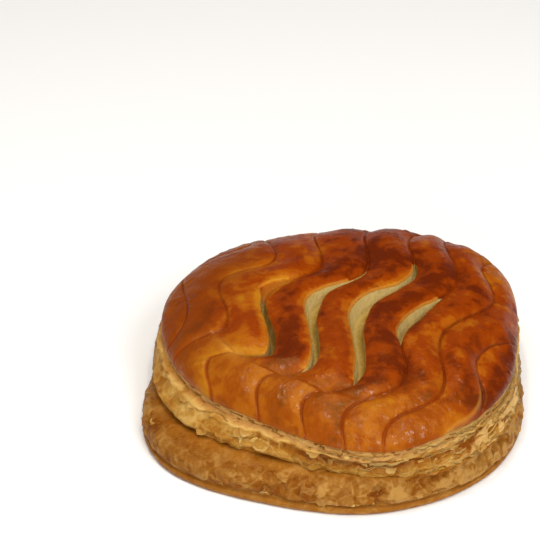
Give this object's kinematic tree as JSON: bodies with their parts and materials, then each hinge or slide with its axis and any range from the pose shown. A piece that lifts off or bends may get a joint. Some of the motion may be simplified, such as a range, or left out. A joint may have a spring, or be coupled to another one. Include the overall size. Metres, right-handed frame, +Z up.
{
  "type": "galette des rois",
  "caption": "Small round two-layer puff pastry with a glazed, domed lid scored in wavy lines, some of them baked open, and flaky golden sides.",
  "frame": {"origin": "on the surface that the pastry rests on, under the middle of its outer box", "axes": "+Z up through the lid; X runs left to right across the pastry and Y from its front to its back, with the scored waves leaning to the right toward the back"},
  "size_m": [0.1192, 0.12, 0.0347],
  "materials": {
    "crust": "baked puff pastry, golden and flaky at the sides, egg-glazed and glossy red-brown on the lid"
  },
  "bodies": {
    "root": {"galette": "crust"}
  },
  "joints": []
}
